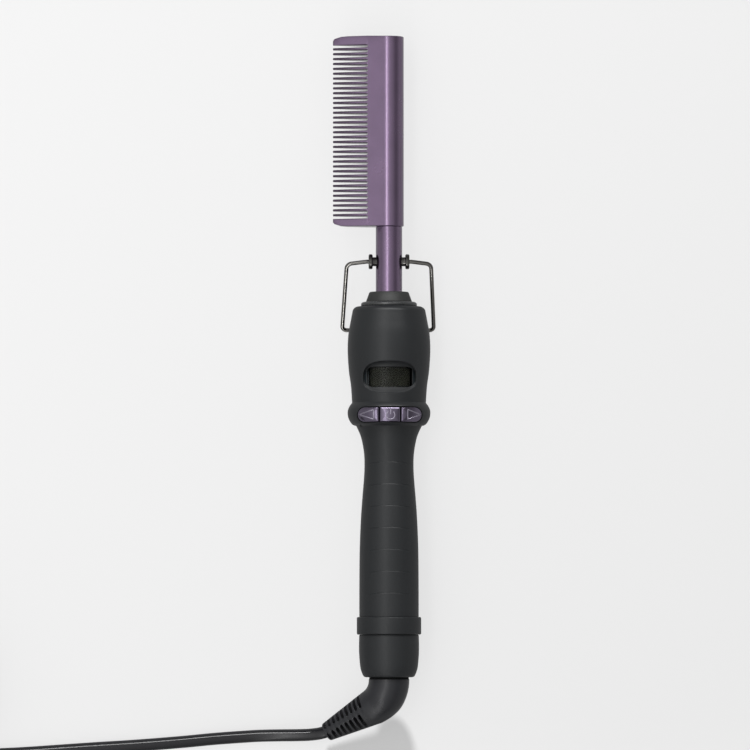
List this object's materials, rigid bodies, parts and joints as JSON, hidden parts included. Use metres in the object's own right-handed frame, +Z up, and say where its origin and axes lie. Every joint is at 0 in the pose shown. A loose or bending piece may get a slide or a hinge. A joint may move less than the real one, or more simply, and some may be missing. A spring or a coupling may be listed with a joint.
{
  "type": "hot comb",
  "caption": "Electric hot comb with a toothed heated head, a wire stand, a display and buttons on the handle, and a swivel mains cord.",
  "frame": {"origin": "middle of the handle and head's footprint, on the surface it lies on", "axes": "+Y along the handle towards the head, +Z up out of the display, the teeth towards -X"},
  "size_m": [0.2765, 0.3245, 0.0365],
  "materials": {
    "coat": "satin coating",
    "key": "gloss",
    "soft_black": "fine satin",
    "heat_plastic": "fine satin",
    "gunmetal": "satin",
    "steel": "satin",
    "aluminium": "machined",
    "ceramic": "matte",
    "amber": "gloss",
    "lens": "gloss",
    "crystal": "gloss",
    "dark_plastic": "matte",
    "pale_plastic": "satin",
    "brown_plastic": "matte",
    "blue_plastic": "gloss",
    "board": "satin",
    "brass": "satin",
    "lead_white": "satin",
    "elbow_rubber": "satin",
    "cord": "gloss",
    "tie": "matte"
  },
  "bodies": {
    "handle": {"comb_head": "coat", "heater_core": "ceramic", "heater_clamps": "aluminium", "heater_film": "amber", "thermistor": "amber", "thermal_fuse": "steel", "head_pin": "gunmetal", "neck_tube": "coat", "stand_studs": "gunmetal", "heat_collar": "heat_plastic", "collar_ring": "soft_black", "neck_clamp": "steel", "clamp_screws": "steel", "heater_leads": "lead_white", "front_shell": "soft_black", "back_shell": "soft_black", "shell_screws": "steel", "display_lens": "lens", "display_frame": "dark_plastic", "display_glass": "crystal", "display_backlight": "pale_plastic", "circuit_board": "board", "board_screws": "steel", "controller_chip": "dark_plastic", "triac": "dark_plastic", "film_capacitor": "blue_plastic", "bulk_capacitor": "dark_plastic", "tact_switches": "dark_plastic", "button_guide": "dark_plastic", "mains_leads": "lead_white", "end_band": "soft_black", "end_cap": "soft_black", "swivel_bush": "pale_plastic", "brush_holder": "brown_plastic", "contact_brushes": "brass"},
    "stand": {"stand_wire": "gunmetal"},
    "key_down": {"button_down": "key", "plunger_down": "pale_plastic"},
    "key_power": {"button_power": "key", "plunger_power": "pale_plastic"},
    "key_up": {"button_up": "key", "plunger_up": "pale_plastic"},
    "swivel": {"swivel_rotor": "pale_plastic", "slip_rings": "brass", "cord_elbow": "elbow_rubber", "cord_run": "cord", "cord_coil": "cord", "cord_lead": "cord", "cord_tie": "tie", "plug_body": "elbow_rubber", "plug_blades": "brass"}
  },
  "joints": [
    {"name": "stand_fold", "type": "hinge", "parent": "handle", "child": "stand", "pos_m": [0.0017, 0.04175, 0.0182], "axis": [1, 0, 0], "range_deg": [0, 135]},
    {"name": "key_down_press", "type": "slide", "parent": "handle", "child": "key_down", "axis": [0, 0, -1], "range_m": [0, 0.0006], "stiffness_N_per_m": 600},
    {"name": "key_power_press", "type": "slide", "parent": "handle", "child": "key_power", "axis": [0, 0, -1], "range_m": [0, 0.0006], "stiffness_N_per_m": 600},
    {"name": "key_up_press", "type": "slide", "parent": "handle", "child": "key_up", "axis": [0, 0, -1], "range_m": [0, 0.0006], "stiffness_N_per_m": 600},
    {"name": "cord_swivel", "type": "hinge", "parent": "handle", "child": "swivel", "pos_m": [0.0017, -0.14105, 0.0182], "axis": [0, 1, 0], "continuous": true}
  ]
}
